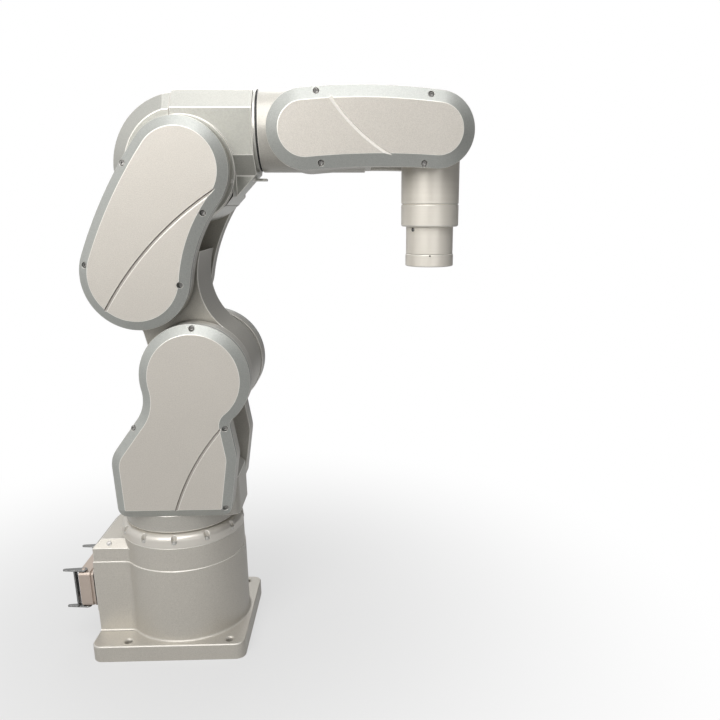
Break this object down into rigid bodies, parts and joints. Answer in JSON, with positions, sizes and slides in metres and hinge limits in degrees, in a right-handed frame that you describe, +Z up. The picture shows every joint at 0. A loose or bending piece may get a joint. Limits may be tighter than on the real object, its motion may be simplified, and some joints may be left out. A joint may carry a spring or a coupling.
{
  "type": "industrial robot arm",
  "caption": "Small silver articulated robot arm with bevelled side covers, a turning base, a rear plug socket and a round tool flange.",
  "frame": {"origin": "on the base's turning axis, in the plane of the base's underside", "axes": "+Z up along the base's turning axis; +X forward, the way the forearm points at rest; +Y to the robot's left"},
  "size_m": [0.5383, 0.182, 0.7115],
  "materials": {
    "cast_silver": "satin silver paint on a casting",
    "cover_silver": "fine grained silver paint",
    "turned_metal": "satin turned and anodised",
    "dark_rubber": "matte",
    "connector_metal": "die-cast, satin",
    "insert_plastic": "matte",
    "lever_steel": "polished"
  },
  "bodies": {
    "base": {"base_casting": "cast_silver", "base_top_ring": "turned_metal", "connector_panel": "cast_silver", "connector_gasket": "dark_rubber", "connector_housing": "connector_metal", "connector_insert": "insert_plastic"},
    "lever_right": {"connector_lever_right": "lever_steel"},
    "lever_left": {"connector_lever_left": "lever_steel"},
    "turret": {"turret_casting": "cast_silver", "shoulder_cover_right": "cover_silver", "shoulder_cover_left": "cover_silver"},
    "upper_arm": {"upper_arm_casting": "cast_silver", "elbow_drive_cover": "cover_silver", "elbow_bearing_cap": "cover_silver"},
    "elbow": {"elbow_housing": "cast_silver", "elbow_rear_cover": "cast_silver", "elbow_front_ring": "cast_silver"},
    "forearm": {"forearm_seal_ring": "dark_rubber", "forearm_casting": "cast_silver", "forearm_cover_right": "cover_silver", "forearm_cover_left": "cover_silver"},
    "wrist": {"wrist_housing": "turned_metal", "wrist_collar": "turned_metal", "wrist_gear_housing": "turned_metal"},
    "tool_flange": {"tool_flange": "turned_metal"}
  },
  "joints": [
    {"name": "base_turn", "type": "hinge", "parent": "base", "child": "turret", "pos_m": [0, 0, 0.175], "axis": [0, 0, 1], "range_deg": [-170, 170]},
    {"name": "shoulder_swing", "type": "hinge", "parent": "turret", "child": "upper_arm", "pos_m": [0.0466, 0, 0.38], "axis": [0, 1, 0], "range_deg": [-60, 95]},
    {"name": "elbow_lift", "type": "hinge", "parent": "upper_arm", "child": "elbow", "pos_m": [0.0466, 0, 0.62], "axis": [0, -1, 0], "range_deg": [-50, 80]},
    {"name": "forearm_roll", "type": "hinge", "parent": "elbow", "child": "forearm", "pos_m": [0.1303, 0, 0.665], "axis": [1, 0, 0], "range_deg": [-170, 170]},
    {"name": "wrist_bend", "type": "hinge", "parent": "forearm", "child": "wrist", "pos_m": [0.335, 0, 0.665], "axis": [0, -1, 0], "range_deg": [-25, 205]},
    {"name": "flange_roll", "type": "hinge", "parent": "wrist", "child": "tool_flange", "pos_m": [0.335, 0, 0.5225], "axis": [0, 0, -1], "range_deg": [-360, 360]},
    {"name": "lever_right_swing", "type": "hinge", "parent": "base", "child": "lever_right", "pos_m": [-0.13115, -0.036, 0.0805], "axis": [0, 0, 1], "range_deg": [0, 75]},
    {"name": "lever_left_swing", "type": "hinge", "parent": "base", "child": "lever_left", "pos_m": [-0.13115, 0.036, 0.0805], "axis": [0, 0, -1], "range_deg": [0, 75]}
  ]
}
